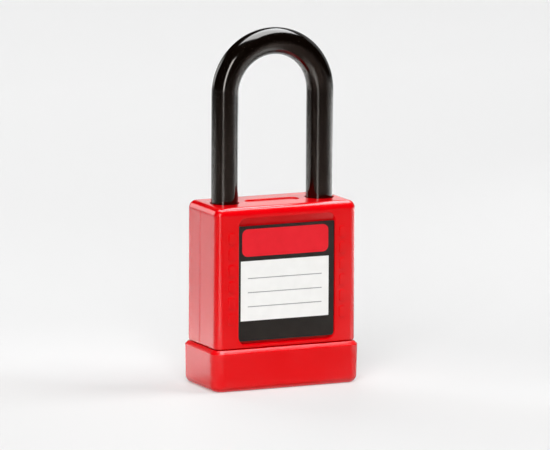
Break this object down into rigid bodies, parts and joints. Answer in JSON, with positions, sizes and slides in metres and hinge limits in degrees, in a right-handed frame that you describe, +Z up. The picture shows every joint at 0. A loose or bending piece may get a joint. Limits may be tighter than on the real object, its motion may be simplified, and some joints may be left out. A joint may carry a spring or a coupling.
{
  "type": "safety padlock",
  "caption": "Upright keyed safety padlock: moulded housing and base cap, label recess, and a jacketed U shackle that two balls lock until the plug is turned.",
  "frame": {"origin": "centre of the base cap's underside, on the surface that the lock stands on", "axes": "+Z up along the shackle legs, +X across the legs towards the toe leg, label face towards -Y"},
  "size_m": [0.042, 0.021, 0.0931],
  "materials": {
    "red_plastic": "semi-gloss moulded red nylon",
    "black_jacket": "glossy black plastic jacket",
    "printed_card": "satin printed plastic card",
    "plated_steel": "zinc plated hardened steel",
    "ball_steel": "ground steel",
    "spring_wire": "drawn spring wire",
    "cast_brass": "machined brass block",
    "plug_brass": "turned brass",
    "pin_brass": "turned brass"
  },
  "bodies": {
    "case": {"housing": "red_plastic", "base_cap": "red_plastic", "label_card": "printed_card", "lock_body": "cast_brass", "heel_pin": "ball_steel", "shackle_spring": "spring_wire", "driver_pin_1": "ball_steel", "driver_pin_2": "ball_steel", "driver_pin_3": "ball_steel", "driver_pin_4": "ball_steel", "driver_pin_5": "ball_steel", "driver_pin_6": "ball_steel", "pin_spring_1": "spring_wire", "pin_spring_2": "spring_wire", "pin_spring_3": "spring_wire", "pin_spring_4": "spring_wire", "pin_spring_5": "spring_wire", "pin_spring_6": "spring_wire", "chamber_plug_1": "pin_brass", "chamber_plug_2": "pin_brass", "chamber_plug_3": "pin_brass", "chamber_plug_4": "pin_brass", "chamber_plug_5": "pin_brass", "chamber_plug_6": "pin_brass"},
    "plug": {"plug": "plug_brass", "driver": "plug_brass", "key_pin_1": "pin_brass", "key_pin_2": "pin_brass", "key_pin_3": "pin_brass", "key_pin_4": "pin_brass", "key_pin_5": "pin_brass", "key_pin_6": "pin_brass"},
    "shackle": {"shackle_core": "plated_steel", "shackle_jacket": "black_jacket"},
    "toe_ball": {"toe_ball": "ball_steel"},
    "heel_ball": {"heel_ball": "ball_steel"}
  },
  "joints": [
    {"name": "plug_turn", "type": "hinge", "parent": "case", "child": "plug", "pos_m": [0, 0, 0.02], "axis": [0, 0, 1], "range_deg": [0, 90]},
    {"name": "shackle_lift", "type": "slide", "parent": "case", "child": "shackle", "axis": [0, 0, 1], "range_m": [0, 0.013], "deforming": ["shackle_spring"]},
    {"name": "toe_ball_draw", "type": "slide", "parent": "case", "child": "toe_ball", "axis": [-1, 0, 0], "range_m": [0, 0.0039]},
    {"name": "heel_ball_draw", "type": "slide", "parent": "case", "child": "heel_ball", "axis": [1, 0, 0], "range_m": [0, 0.0039]}
  ],
  "couplings": [
    {"joint": "plug_turn", "follows": "shackle_lift", "rad_per_m": 120.83},
    {"joint": "toe_ball_draw", "follows": "shackle_lift", "ratio": 0.3},
    {"joint": "heel_ball_draw", "follows": "shackle_lift", "ratio": 0.3}
  ]
}
